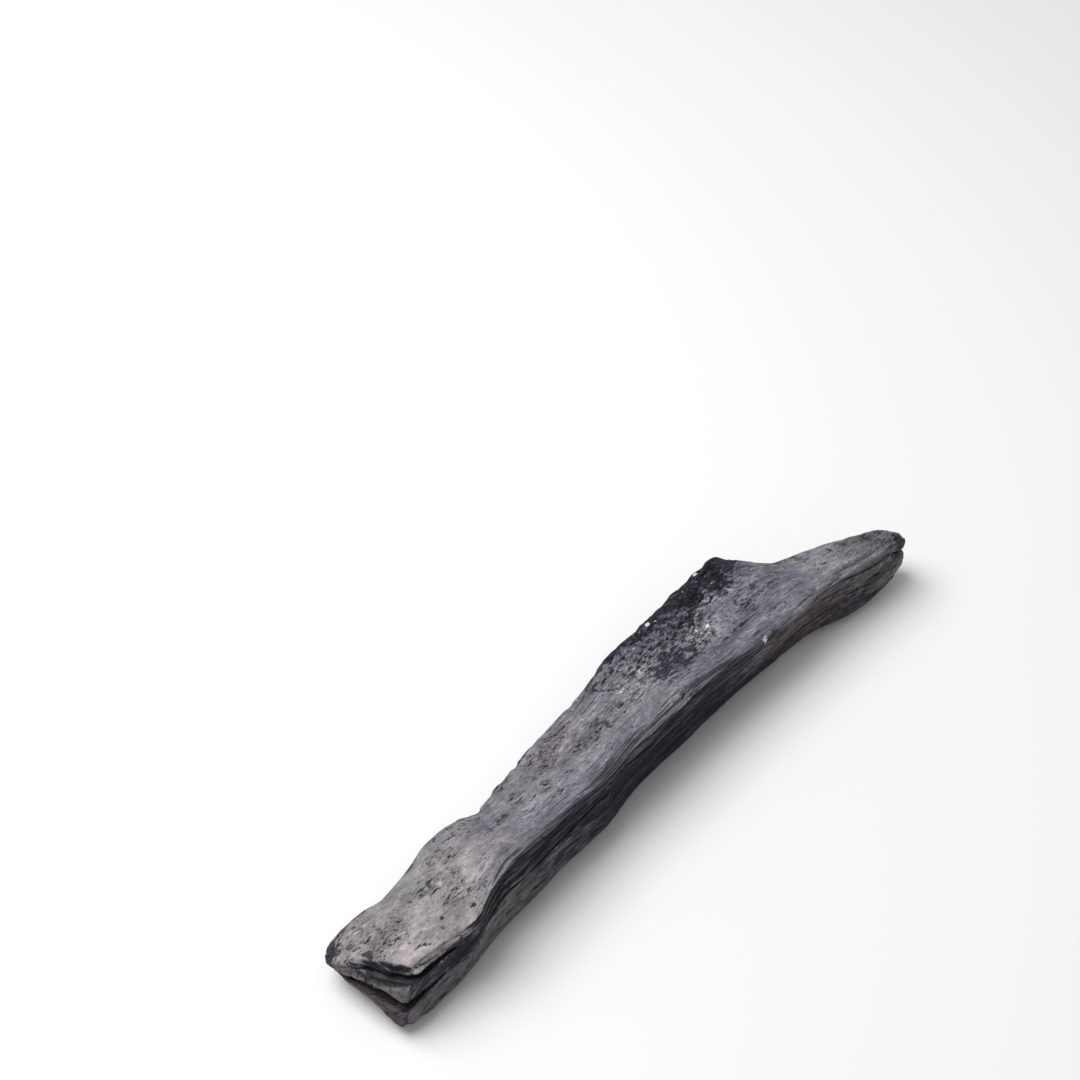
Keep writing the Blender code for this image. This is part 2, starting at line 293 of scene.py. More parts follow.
# How far the black band on the knot reaches in from the thin edge: x and width in mm.
KNOT_BAND = ((0, 0.6), (12, 3.5), (30, 5.5), (48, 9), (64, 14), (76, 14), (84, 8), (92, 0.5))

# How light the wall is along the stick, above and below the lower split: x and lightness. The wall's
# darkness is partly its own soot and partly painted shade, and the darkest stretch in its middle is
# painted shadow.
WALL_ABOVE = (
    (-148, 0.8), (-136, 0.6), (-124, 0.4), (-60, 0.3), (0, 0.1), (30, 0.3), (52, 0.9), (76, 1.15),
)
WALL_BELOW = (
    (-148, 1.0), (-90, 1.0), (-50, 0.5), (-10, -0.2), (30, -0.2), (60, 0.4), (90, 0.95), (146, 0.9),
)

# A pale flake on the wall above the lower split: x, z, half length, half height in mm and how light.
PALE_FLAKE = (-98, 25.0, 14, 1.8, 0.7)

# White ash specks: x, y, half length and half width in mm and how white.
ASH_SPECKS = (
    (38, 23, 1.2, 0.8, 1.0),
    (41, 22, 0.9, 0.6, 0.8),
    (72, 26, 0.9, 0.7, 1.0),
    (72, 17, 0.9, 0.6, 0.7),
    (51, 3.5, 1.4, 0.8, 0.9),
    (46, 6, 1.1, 0.7, 0.7),
    (15, 9, 1.2, 0.7, 0.6),
    (24, 8, 1.2, 0.7, 0.5),
    (4, 8, 1.3, 0.8, 0.5),
    (57, -19, 0.9, 0.55, 0.9),
)

# How far the pits and flecks are turned from the grain.
PIT_SLANT = math.radians(20.0)
# How far the skin may stand proud of the solid's box along x, y and z, in mm.
PROUD = np.array((0.6, 0.6, 0.0))
# The knot's middle and reach along x and y, and where its thin edge starts and ends, in mm.
KNOT_AT = (46.0, 22.0)
KNOT_REACH = (40.0, 15.0)
KNOT_EDGE = (-6.0, 76.0)
# The stage's floor reaches this far each way, in metres.
FLOOR_REACH = 3.0
KEY_LIGHT_AT = (-0.25, 0.55, 1.15)


def eased(low, high, values):
    """0 up to low, 1 from high on and a smooth change between them, in either order."""
    share = np.clip((values - low) / (high - low), 0.0, 1.0)
    return share * share * (3.0 - 2.0 * share)


def chance(cells, seed):
    """A number from 0 to 1 for each whole-number cell, the same on every run."""
    whole = cells.astype(np.int64).astype(np.uint32)
    mixed = whole[:, 0] * np.uint32(0x8DA6B343)
    mixed = mixed ^ (whole[:, 1] * np.uint32(0xD8163841))
    mixed = mixed ^ (whole[:, 2] * np.uint32(0xCB1AB31F))
    mixed = mixed ^ np.uint32((seed * 0x9E3779B9) & 0xFFFFFFFF)
    for shift, factor in ((16, 0x85EBCA6B), (13, 0xC2B2AE35)):
        mixed = mixed ^ (mixed >> np.uint32(shift))
        mixed = mixed * np.uint32(factor)
    mixed = mixed ^ (mixed >> np.uint32(16))
    return mixed / 4294967295.0


SLOPES = np.array(
    [
        (1, 1, 0), (-1, 1, 0), (1, -1, 0), (-1, -1, 0),
        (1, 0, 1), (-1, 0, 1), (1, 0, -1), (-1, 0, -1),
        (0, 1, 1), (0, -1, 1), (0, 1, -1), (0, -1, -1),
    ],
    float,
)


def waves(points, size, seed):
    """Smooth noise from about -1 to 1 whose waves have these sizes along each axis."""
    place = points / np.array(size, float)
    cell = np.floor(place)
    inside = place - cell
    blend = inside**3 * (inside * (inside * 6.0 - 15.0) + 10.0)
    total = np.zeros(len(points))
    for corner in itertools.product((0.0, 1.0), repeat=3):
        offset = np.array(corner)
        pick = (chance(cell + offset, seed) * 11.999).astype(int)
        height = ((inside - offset) * SLOPES[pick]).sum(1)
        weight = np.where(offset > 0.5, blend, 1.0 - blend).prod(1)
        total += weight * height
    return np.clip(total / 0.62, -1.0, 1.0)


def hollows(points, size, seed, share):
    """How deep each point lies, from 0 to 1, in oval pits that some of the cells hold."""
    place = points / np.array(size, float)
    cell = np.floor(place)
    deepest = np.zeros(len(points))
    for offset in itertools.product((-1, 0, 1), repeat=3):
        here = cell + np.array(offset)
        middle = np.stack([chance(here, seed + axis) for axis in range(3)], 1)
        reach = 0.28 + 0.34 * chance(here, seed + 3)
        gap = np.linalg.norm(place - here - 0.15 - 0.7 * middle, axis=1) / reach
        held = chance(here, seed + 4) < share
        deepest = np.maximum(deepest, np.where(held, 1.0 - gap * gap, 0.0))
    return np.clip(deepest, 0.0, 1.0)


def patch_cover(points, patches):
    """How strongly the oval patches, given in mm, cover each point."""
    cover = np.zeros(len(points))
    for x, y, long, wide, strength in patches:
        gap = ((points[:, 0] - x) / long) ** 2 + ((points[:, 1] - y) / wide) ** 2
        cover = np.maximum(cover, strength * np.exp(-0.7 * gap))
    return cover


def line_gap(points, start, end):
    """The distance in mm from each point to a straight line between two points."""
    start = np.array(start, float)
    step = np.array(end, float) - start
    share = np.clip((points - start) @ step / (step @ step), 0.0, 1.0)
    return np.linalg.norm(points - start - share[:, None] * step, axis=1)


def looked_up(rows, along, column=1):
    """A table's value at each x, with straight lines between its rows."""
    table = np.array(rows, float)
    return np.interp(along, table[:, 0], table[:, column])


def layer_heights(points, bent):
    """The height of the underside, of both splits and of the top at each point's place."""
    along, across = points[:, 0], points[:, 1]
    share = bent * eased(-116, -136, along)
    under, lower, upper = (share * looked_up(LAYER_RISE, across, column) for column in (1, 2, 3))
    under += UNDERSIDE[1] + UNDERSIDE[2] * (across - UNDERSIDE[0])
    lower += looked_up(LOWER_SPLIT, along, 2) - LOWER_FALL * (across - WALL_PLANE)
    upper += looked_up(UPPER_SPLIT, along, 2) - UPPER_FALL * (across - WALL_PLANE)
    by_wall = eased(-13.5, -18.5, across) * eased(-140, -133, along) * eased(-110, -119, along)
    upper -= bent * WALL_DIP * by_wall
    upper = np.maximum(upper, lower + LEAST_LAYER)
    top = TOP_FACE[1] + TOP_FACE[2] * (across - TOP_FACE[0])
    top = np.maximum(top, upper + LEAST_LAYER)
    return under, lower, upper, top


def relayered(points):
    """The points with the layers of the broken end bent up."""
    before = layer_heights(points, 0.0)
    after = layer_heights(points, 1.0)
    height = points[:, 2]
    moved = points.copy()
    for low_there, high_there, low_here, high_here in zip(before, before[1:], after, after[1:]):
        share = (height - low_there) / (high_there - low_there)
        held = (share > 0.0) & (share <= 1.0)
        moved[:, 2] = np.where(held, low_here + share * (high_here - low_here), moved[:, 2])
    below = height <= before[0]
    moved[:, 2] = np.where(below, height + after[0] - before[0], moved[:, 2])
    return moved


def sagged(points, split, middle, amount):
    """The points with the layer over a split sagging into it, most at the broken end."""
    gap = points[:, 2] - middle
    inner = looked_up(split, points[:, 0], 1)
    end = split[-1][0]
    share = eased(inner + 1.0, inner - 5.0, points[:, 1])
    share = share * eased(end, end - 16.0, points[:, 0]) * eased(5.0, 2.0, gap) * (gap > 0.0)
    moved = points.copy()
    moved[:, 2] -= amount * share
    return moved


def straight_edge(points):
    """The points with the knot's thin edge drawn straight between its broad swells."""
    start, end = KNOT_EDGE
    stations = np.arange(start - 2.0, end + 8.0, 1.5)
    reach = [points[np.abs(points[:, 0] - station) < 1.2, 1].max() for station in stations]
    spread = 8
    weights = np.hanning(2 * spread + 3)[1:-1]
    padded = np.pad(reach, spread, mode="edge")
    smooth = np.convolve(padded, weights / weights.sum(), mode="valid")
    along = points[:, 0]
    edge = np.interp(along, stations, reach)
    change = np.interp(along, stations, smooth - reach)
    change = change * eased(start, start + 8, along) * eased(end, end - 8, along)
    moved = points.copy()
    moved[:, 1] += change * eased(9.0, 1.0, edge - points[:, 1])
    return moved


def even_skin(source, detail):
    """A closed copy of the solid with even small faces, longer along the stick, as a mesh."""
    squeeze = Matrix.Diagonal((1.0 / FACE_STRETCH, 1.0, 1.0, 1.0))
    rough = source.data.copy()
    rough.transform(squeeze)
    work = bmesh.new()
    work.from_mesh(rough)
    bmesh.ops.remove_doubles(work, verts=work.verts, dist=1e-6)
    work.to_mesh(rough)
    work.free()
    holder = bpy.data.objects.new("skin_in_work", rough)
    bpy.context.scene.collection.objects.link(holder)
    even = holder.modifiers.new("Even faces", "REMESH")
    even.mode = "VOXEL"
    even.voxel_size = detail
    even.adaptivity = 0.0
    bpy.context.view_layer.update()
    shown = holder.evaluated_get(bpy.context.evaluated_depsgraph_get())
    skin = bpy.data.meshes.new_from_object(shown)
    bpy.data.objects.remove(holder)
    skin.transform(squeeze.inverted())
    return skin


def read(items, name, columns, kind=float):
    """One property of each of a mesh's items, as rows of numbers."""
    flat = np.zeros(len(items) * columns, kind)
    items.foreach_get(name, flat)
    return flat.reshape(-1, columns)


def write_points(mesh, points):
    """Puts points given in mm into the mesh."""
    mesh.vertices.foreach_set("co", (points * MM).astype(np.float32).ravel())
    mesh.update()


def neighbour_mean(values, edges):
    """The mean of each point's neighbours, for one number or three a point."""
    columns = values.reshape(len(values), -1)
    count = np.bincount(edges.ravel(), minlength=len(values))
    made = np.zeros(columns.shape)
    for axis in range(columns.shape[1]):
        column = columns[:, axis]
        made[:, axis] = np.bincount(edges[:, 0], column[edges[:, 1]], len(values))
        made[:, axis] += np.bincount(edges[:, 1], column[edges[:, 0]], len(values))
    return (made / count[:, None]).reshape(values.shape)


def smoothed(values, edges, rounds):
    """The values after this many rounds of moving halfway to the mean of the neighbours."""
    for _ in range(rounds):
        values = 0.5 * values + 0.5 * neighbour_mean(values, edges)
    return values


def long_lines(points):
    """Stations along the stick and, at each, the y and z of the arris and of the thin edge."""
    stations = np.arange(points[:, 0].min() + 3.0, points[:, 0].max() - 2.0, 4.0)
    rows = []
    for station in stations:
        slab = points[np.abs(points[:, 0] - station) < 3.0]
        arris = slab[np.argmax(slab[:, 2] - 0.9 * slab[:, 1])]
        edge = slab[np.argmax(slab[:, 1] + 0.1 * slab[:, 2])]
        rows.append((arris[1], arris[2], edge[1], edge[2]))
    rows = np.pad(np.array(rows), ((2, 2), (0, 0)), mode="edge")
    weights = np.array((1.0, 2.0, 3.0, 2.0, 1.0)) / 9.0
    smooth = sum(
        weight * rows[step : step + len(stations)]
        for step, weight in enumerate(weights)
    )
    return stations, smooth


class Lie:
    """Where each point of the skin lies on the stick: its zones and its place in the grain."""

    def __init__(self, points, normals):
        self.points = points
        self.normals = normals
        stations, rows = long_lines(points)
        along = points[:, 0]
        arris_y, arris_z, edge_y, edge_z = (
            np.interp(along, stations, rows[:, column]) for column in range(4)
        )
        share = (points[:, 1] - arris_y) / (edge_y - arris_y)
        mean_width = float(np.mean(rows[:, 2] - rows[:, 0]))
        self.across = share * mean_width
        self.below = points[:, 2] - arris_z - share * (edge_z - arris_z)
        self.drop = arris_z - points[:, 2]
        self.arris_gap = np.hypot(points[:, 1] - arris_y, points[:, 2] - arris_z)
        self.edge_gap = np.hypot(points[:, 1] - edge_y, points[:, 2] - edge_z)
        self.inward = edge_y - points[:, 1]
        sway = waves(points, (70, 26, 26), 301) * 1.6
        self.grain = np.stack(
            [along, self.across + sway, self.below + 0.6 * sway], 1
        )
        self.near_end = eased(0.5, 0.85, -normals[:, 0]) * (along < -100)
        self.top = eased(0.3, 0.65, normals[:, 2])
        self.wall = eased(0.35, 0.75, -normals[:, 1]) * (1.0 - self.near_end)
        self.belly = eased(0.15, 0.6, -normals[:, 2])
        self.tip = eased(128, 146, along)
        lower, upper = layer_heights(points, 1.0)[1:3]
        self.over_upper = points[:, 2] - upper
        self.over_lower = points[:, 2] - lower
        self.plank = eased(-0.3, 0.8, self.over_upper)
        self.stacked = np.stack([along, points[:, 1], self.over_upper], 1)
        broken_face = BROKEN_FACE_X + LEAN * np.maximum(0.0, points[:, 2] - LEAN_FROM)
        broken_face += SKEW * (SKEW_FROM - points[:, 1])
        foot_share = np.clip(self.drop / (arris_z - WALL_FOOT[1]), 0.0, 1.0)
        wall_face = arris_y + (WALL_FOOT[0] - arris_y) * foot_share
        self.inside = np.minimum(along - broken_face, points[:, 1] - wall_face)
        # Ledges sunk below the top; the finish paints those that face up darker as painted shade.
        self.ledge = eased(-1.5, -3.0, self.below)
        self.ledge *= np.maximum(eased(-50, -70, along), eased(5.0, 2.5, self.across))
        layered = (self.near_end + self.ledge * self.top > 0.5) & (along < -120)
        plies = np.stack([points[:, 1] - 300.0, 0.6 * along, self.over_upper + 0.5 * sway], 1)
        self.grain[layered] = plies[layered]
        wide = ((along - KNOT_AT[0]) / KNOT_REACH[0]) ** 2
        deep = ((points[:, 1] - KNOT_AT[1]) / KNOT_REACH[1]) ** 2
        ragged = 0.35 * waves(points, (13, 8, 8), 302)
        self.knot = eased(1.3, 0.45, wide + deep + ragged) * (1.0 - self.belly)


def slanted(places):
    """Places turned about the upright, so that marks drawn in them lie at a slant to the grain."""
    turned = places.copy()
    turned[:, 0] = places[:, 0] * math.cos(PIT_SLANT) - places[:, 1] * math.sin(PIT_SLANT)
    turned[:, 1] = places[:, 0] * math.sin(PIT_SLANT) + places[:, 1] * math.cos(PIT_SLANT)
    return turned


def pit_layers(lie):
    """How dense the pits are, and how deep each point lies in the large and small ones."""
    points, grain = lie.points, lie.grain
    groups = patch_cover(points, PIT_GROUPS) * lie.top
    groups = np.clip(groups + 0.6 * waves(points, (6, 5, 5), 318) * (groups > 0.1), 0.0, 1.0)
    scatter = eased(0.25, 0.9, waves(points, (16, 10, 10), 311))
    density = np.clip(groups + 0.12 * scatter + 0.45 * lie.knot, 0.0, 1.0)
    density *= 1.0 - 0.75 * lie.near_end
    bend = np.stack([waves(points, (4, 3, 3), 312 + axis) for axis in range(3)], 1)
    bent = slanted(grain) + bend * (1.6, 0.8, 0.8)
    ragged = 0.7 * waves(points, (2.2, 1.2, 1.2), 316)
    large = hollows(bent, (3.8, 1.6, 1.6), 321, 0.4 * density)
    small = hollows(bent, (2.4, 1.0, 1.0), 331, 0.008 + 0.5 * density)
    large = np.clip(large + ragged * (large > 0), 0.0, 1.0)
    small = np.clip(small + ragged * (small > 0), 0.0, 1.0)
    return density, large, small


def crack_layer(lie):
    """How deep each point lies in the long cracks that run with the fibres."""
    points, grain = lie.points, lie.grain
    wall = np.maximum(lie.wall, eased(5.0, 1.0, lie.arris_gap))
    fine = np.abs(waves(grain, (75, 3.4, 3.4), 341))
    where = eased(0.0, 0.5, waves(grain, (48, 7, 7), 342))
    far = eased(30, 80, points[:, 0])
    crack = eased(0.1, 0.0, fine) * where * np.maximum(0.8 * wall, 0.5 * far + 0.15)
    wobble = waves(grain, (22, 40, 40), 343) * 0.45
    for start, end, drop_there, drop_here, deep in WALL_CRACKS:
        share = (points[:, 0] - start) / (end - start)
        gap = lie.drop - drop_there - share * (drop_here - drop_there) + wobble
        ends = eased(0.0, 0.2, share) * eased(1.0, 0.7, share)
        line = deep * eased(0.85, 0.1, np.abs(gap)) * ends * lie.wall
        crack = np.maximum(crack, line)
    return crack


def split_dark(lie):
    """How deep in the shade of the two splits each point lies, from 0 to 1."""
    points = lie.points
    along = points[:, 0]
    shade = np.zeros(len(points))
    ragged = 0.5 * waves(points, (7, 5, 3), 351)
    for split, over in ((UPPER_SPLIT, lie.over_upper), (LOWER_SPLIT, lie.over_lower)):
        half = 0.5 * looked_up(split, along, 3)
        within = eased(half + 1.7, half + 0.9, np.abs(over))
        within *= (along < split[-1][0]) * (points[:, 1] < looked_up(split, along, 1) + 2.0)
        shade = np.maximum(shade, within * eased(0.0, 1.1, lie.inside + ragged))
    by_face = eased(-124, -130, along) * eased(6.0, 4.0, lie.inside) * (1.0 - 0.6 * lie.wall)
    return np.maximum(shade, under_rims(lie, 0.2) * np.maximum(by_face, lie.near_end))


def under_rims(lie, spread):
    """How deep each point lies in the gaps that the broken face shows under its two upper layers."""
    across = lie.points[:, 1] + 2.0 * waves(lie.points, (5, 4, 3), 352)
    upper = eased(2.9 + spread, 0.8 + spread, np.abs(lie.over_upper + 1.3))
    lower = eased(1.9 + spread, 0.4 + spread, np.abs(lie.over_lower + 0.5))
    return np.maximum(upper * eased(7.0, -5.0, across), 0.8 * lower * eased(13.0, -2.0, across))


def path_gap(points, line):
    """The distance in mm from each point to a line that runs through several points."""
    return np.min([line_gap(points, *ends) for ends in zip(line, line[1:])], 0)


def swells(lie, mm):
    """The lift in mm of the broad swells, the uneven top and the fibre ridges."""
    points, grain = lie.points, lie.grain
    calm = 0.2 + 0.8 * eased(-142, -120, points[:, 0]) * eased(0.5, 7.0, lie.edge_gap)
    lumps = waves(points, (36, 24, 24), 401) + 0.5 * waves(points, (12, 8, 8), 402)
    lift = mm["lump"] * lumps * calm
    lift += 0.16 * waves(points, (5.0, 3.6, 3.6), 406) * lie.top
    strong = 0.4 + 0.8 * lie.wall + 0.35 * eased(-40, 60, points[:, 0])
    ridges = waves(grain, (60, 2.7, 2.7), 403) + 0.6 * waves(grain, (26, 1.5, 1.5), 404)
    steps = 1.5 * np.tanh(3.5 * waves(grain, (90, 5.5, 5.5), 405))
    fibres = ridges * strong + steps * (0.15 + lie.wall)
    return lift + mm["fibre"] * fibres * (1.0 - lie.near_end)


def carved(lie):
    """The depth in mm of the grooves, the cleft and the worn corners, and where it is a dark crack."""
    points = lie.points
    deep = np.zeros(len(points))
    dark = np.zeros(len(points))
    ragged = 0.25 * waves(points, (2.5, 2.0, 2.0), 440)
    for half_width, depth_there, line in GROOVES:
        cut = eased(1.0, 0.0, path_gap(points, line) / half_width + ragged)
        dark = np.maximum(dark, cut)
        deep += depth_there * cut
    gap = path_gap(points * (1, 0, 1), [(x, 0, z) for x, z, depth_there in CLEFT])
    outer = np.maximum(eased(0.0, -0.4, lie.normals[:, 1]), eased(0.3, 0.7, lie.normals[:, 0]))
    cut = eased(2.4, 0.2, gap + 0.3 * waves(points, (5, 3, 3), 446)) * outer
    cut *= looked_up(sorted(CLEFT), points[:, 0], 2)
    deep += cut
    dark = np.maximum(dark, np.clip(0.5 * cut, 0.0, 1.0))
    for half_width, depth_there, line in WORN_CORNERS:
        deep += depth_there * eased(half_width, 0.0, path_gap(points, line))
    return deep, dark


def crumbled(lie, mm):
    """The depth in mm of the chips and the crumbling along the edges, and where the arris is chipped."""
    points = lie.points
    along = points[:, 0]
    deep = np.zeros(len(points))
    chip = np.zeros(len(points))
    for centre, half_length, depth_there in THIN_EDGE_CHIPS:
        bite = eased(half_length, 0.3 * half_length, np.abs(along - centre))
        deep += depth_there * bite * eased(4.5, 1.0, lie.edge_gap)
    ragged = 0.5 * waves(points, (4, 3, 3), 441)
    for centre, half_length, depth_there in ARRIS_CHIPS:
        bite = eased(1.0, 0.3, np.abs(along - centre) / half_length + ragged)
        bite *= eased(3.2, 0.6, lie.arris_gap)
        chip = np.maximum(chip, bite)
        deep += depth_there * bite
    crumbs = eased(0.1, 0.7, waves(lie.grain, (17, 2.2, 2.2), 442)) * eased(2.8, 0.4, lie.arris_gap)
    rim_gap = np.hypot(np.maximum(lie.inside, 0.0), lie.below) + 20.0 * (along > -128)
    worn = (0.7 + 0.9 * waves(points, (6, 5, 3), 445)) * eased(2.8, 0.2, rim_gap)
    nibbled = eased(0.1, 0.7, waves(points, (5, 3, 3), 443)) * eased(2.2, 0.3, lie.edge_gap)
    return deep + mm["chip"] * (crumbs + 0.9 * worn + 0.25 * nibbled), chip


def relief(lie, sizes):
    """How far each point moves outward in mm, with its pit density, darkness and chips."""
    points = lie.points
    mm = {name: getattr(sizes, name) / MM for name in RELIEF_NAMES}
    lift = swells(lie, mm)
    density, large, small = pit_layers(lie)
    lift -= mm["pit"] * (large + 0.5 * small) * (0.3 + 0.7 * lie.top)
    crack = crack_layer(lie)
    lift -= mm["crack"] * crack * (1.0 - lie.near_end)

    rough = waves(points, (4.4, 2.8, 2.8), 411) + 0.7 * waves(points, (2.3, 1.5, 1.5), 412)
    crater = hollows(points, (6.0, 3.8, 3.8), 421, 0.5)
    crater = np.clip(crater + 0.4 * rough * (crater > 0), 0.0, 1.0)
    inside = 0.15 + 0.85 * eased(0.5, 4.0, lie.edge_gap)
    lift += mm["knot"] * lie.knot * (0.35 * rough - 0.75 * crater) * inside

    layers = waves(lie.stacked, (8, 8, 1.5), 431) + 0.6 * waves(lie.stacked, (4, 3.5, 1.1), 432)
    lift += mm["end"] * layers * lie.near_end * (0.12 + 0.85 * lie.plank)
    lift += 0.9 * lie.near_end * eased(14.0, 6.0, points[:, 1])
    lift -= RIM_GAP_DEPTH * under_rims(lie, 0.0) * lie.near_end
    ends = waves(points, (3.0, 2.0, 2.0), 433)
    lift += 0.4 * mm["end"] * ends * np.maximum(lie.tip, 0.4 * lie.belly)
    lift += TIP_SWELL * lie.tip

    deep, nick = carved(lie)
    worn, chip = crumbled(lie, mm)
    lift -= deep + worn
    # Darkness in pits, cracks, knot craters, nicks and between the end's plies: partly their soot and
    # partly painted shade in the hollows.
    dark = np.maximum.reduce(
        [
            0.9 * eased(0.15, 0.7, large),
            0.8 * eased(0.25, 0.8, small),
            eased(0.2, 0.8, crack),
            0.8 * lie.knot * eased(0.2, 0.7, crater),
            0.85 * eased(0.25, 0.8, nick),
            lie.near_end * lie.plank * eased(-0.05, -0.45, layers),
        ]
    )
    return lift, density, dark, chip


# Feeds the painted shade: the finish darkens the points whose near sky is hidden.
def shelter(points, normals, faces):
    """How much of the sky close by is hidden from each point, from 0 to 1."""
    tree = BVHTree.FromPolygons([tuple(p) for p in points], faces)
    reach = 9.0
    rays = 6
    hidden = np.zeros(len(points))
    turns = np.random.default_rng(77).random(len(points)) * math.tau
    for ray in range(rays):
        tilt = 0.25 + 0.9 * ray / rays
        turn = turns + ray * 2.4
        side = np.cross(normals, (0.31, 0.52, 0.80))
        side /= np.linalg.norm(side, axis=1)[:, None] + 1e-9
        other = np.cross(normals, side)
        spread = side * np.cos(turn)[:, None] + other * np.sin(turn)[:, None]
        ways = normals * math.cos(tilt) + spread * math.sin(tilt)
        starts = points + normals * 0.12
        for number, (start, way) in enumerate(zip(starts, ways)):
            hit = tree.ray_cast(Vector(start), Vector(way), reach)[3]
            if hit is not None:
                hidden[number] += 1.0 - hit / reach
    return hidden / rays


def arris_band(lie, streak):
    """How strongly the black band along the arris covers each point."""
    along = lie.points[:, 0]
    wall_side = eased(-0.8, 1.4, lie.drop + 1.2 * streak) * eased(9.0, 4.0, lie.drop + 1.8 * streak)
    wall_side *= lie.wall * looked_up(ARRIS_WALL_SIDE, along)
    top_side = eased(7.5, 1.0, lie.across + 2.2 * streak) * (1.0 - lie.belly)
    top_side *= (lie.drop < 5.0) * looked_up(ARRIS_TOP_SIDE, along)
    broken = 0.5 + 0.5 * eased(-0.7, 0.2, waves(lie.grain, (46, 3, 3), 503))
    return np.clip(np.maximum(wall_side, 0.95 * top_side) * broken, 0.0, 1.0)


def soot_cover(lie, chip, ragged):
    """How strongly soot covers each point: on the knot, in patches, on rims and at both ends."""
    points = lie.points
    along = points[:, 0]
    bits = waves(points, (3.2, 2.2, 2.2), 505)
    knot_share = lie.inward / looked_up(KNOT_BAND, along)
    knot_band = eased(1.2, 0.75, knot_share + 0.3 * ragged + 0.35 * bits)
    knot_band *= eased(-3, 6, along) * eased(93, 86, along) * (1.0 - lie.belly)
    edge_rim = eased(2.4, 0.6, lie.inward + 1.4 * ragged) * (lie.normals[:, 1] > 0.2)
    plies = waves(lie.stacked, (9, 9, 1.3), 504) + 0.6 * waves(lie.stacked, (5, 5, 0.7), 506)
    cap_gap = np.linalg.norm(points - DARK_CAP_AT, axis=1) + 1.5 * ragged
    corner_gap = np.linalg.norm(points - CORNER_AT, axis=1) + 2.0 * bits
    soot = np.maximum.reduce(
        [
            knot_band,
            0.5 * eased(2.3, 1.0, knot_share + 0.4 * bits) * lie.knot,
            patch_cover(points, SOOT_PATCHES) * (0.8 + 0.5 * bits) * (1.0 - lie.belly),
            0.7 * edge_rim,
            0.9 * eased(7.0, 2.0, cap_gap),
            CORNER_SOOT * eased(8.0, 2.5, corner_gap),
            0.9 * lie.near_end * lie.plank * eased(0.35, -0.5, plies),
            0.8 * chip * eased(-0.2, 0.5, ragged),
        ]
    )
    return np.clip(soot, 0.0, 1.0)


def side_zones(lie, streak, lobe):
    """How much each point is side and not top, and how light and how brown it is there."""
    points = lie.points
    along = points[:, 0]
    far = eased(35, 72, along)
    split_height = looked_up(LOWER_SPLIT, along, 2) - 8.0 * eased(-22, 40, along)
    beneath = eased(1.0, -1.5, points[:, 2] - split_height)
    above_tone, below_tone = looked_up(WALL_ABOVE, along), looked_up(WALL_BELOW, along)
    flake = patch_cover(points[:, (0, 2)], (PALE_FLAKE,)) * lie.wall
    tone = above_tone + (below_tone - above_tone) * beneath + flake
    # Painted light and shade: the far wall is lighter just under the arris and darker further down.
    tone += 0.3 * far * (eased(11.0, 4.0, lie.drop) - eased(14.0, 21.0, lie.drop))
    bottom = eased(0.5, -0.6, lie.over_lower)
    end_tone = 1.2 - 0.55 * lie.plank - 0.76 * bottom
    # Painted shade: sunk ledges that face up take the broken face's darker tone.
    on_ledge = lie.ledge * (1.0 - lie.wall) * eased(-120, -128, along)
    tone += (end_tone - tone) * np.maximum(lie.near_end, on_ledge)
    # Painted light: the tip's lobes are lighter where they face up.
    tone += lobe * (0.3 * eased(-0.4, 0.2, lie.normals[:, 2]) + 0.15)
    brown = np.maximum.reduce(
        [
            0.8 * flake,
            0.6 * far * lie.wall * eased(4.0, 9.0, lie.drop) * eased(116, 98, along),
            lie.near_end * (0.2 + 0.8 * bottom) * (1.0 - lie.plank),
        ]
    )
    # Painted light: the upper part of the far wall takes the top's lighter colour.
    side = lie.wall * (1.0 - 0.8 * far * eased(21.0, 6.0, lie.drop + 2.5 * streak))
    # Painted shade: the underside and the sunk ledges that face up take the side's darker colour.
    side = np.clip(side + lie.belly + lie.near_end + lie.ledge, 0.0, 1.0)
    bevel = eased(6.5, 3.0, lie.drop + streak) * eased(-108, -118, along) * (1.0 - lie.near_end)
    side *= 1.0 - 0.9 * bevel * eased(0.2, 1.0, lie.over_upper)
    return side, np.clip(tone, -0.3, 1.2), brown


def zone_values(lie, density, dark, chip, hidden, crest_wear_and_highlight):
    """The numbers, mostly from 0 to 1, that steer the finish, by attribute name."""
    points = lie.points
    along = points[:, 0]
    streak = waves(lie.grain, (34, 1.9, 1.9), 501)
    ragged = waves(points, (9, 6, 6), 502)
    lobe = eased(116, 134, along)
    side, tone, brown = side_zones(lie, streak, lobe)
    pale = looked_up(PALE_ALONG, along + 14 * ragged) * (1.0 - 0.4 * lie.knot)
    # Painted shade: the underside and the foot of the sides near the floor are stored as low and darkened
    # in the finish.
    foot = eased(9.0 - 4.0 * lobe, 0.5, points[:, 2]) * (1.0 - lie.top)
    return {
        # The dark of pits and cracks, partly their soot, together with painted shade where the near sky
        # is hidden and in the splits.
        "hollow_dark_and_painted_shade": np.maximum.reduce([dark, eased(0.25, 0.65, hidden), split_dark(lie)]),
        "soot": soot_cover(lie, chip, ragged),
        "band": arris_band(lie, streak),
        "pale": pale - patch_cover(points, BLUE_PATCHES),
        "pink": patch_cover(points, PINK_PATCHES) * lie.top,
        "scuff": patch_cover(points, SCUFF_PATCHES) * lie.top,
        "side": side,
        "brown": brown,
        "tone": tone,
        "low": np.maximum(lie.belly, foot),
        "knot": lie.knot,
        "ash": patch_cover(points, ASH_SPECKS) * eased(7.0, 4.0, np.abs(lie.below)),
        "pitted": density,
        "crest_wear_and_highlight": crest_wear_and_highlight,
    }


def store(mesh, name, values):
    """Stores one number or one place for each point of the mesh."""
    kind, field = ("FLOAT", "value") if values.ndim == 1 else ("FLOAT_VECTOR", "vector")
    mesh.attributes.new(name, kind, "POINT")
    mesh.attributes[name].data.foreach_set(field, values.astype(np.float32).ravel())


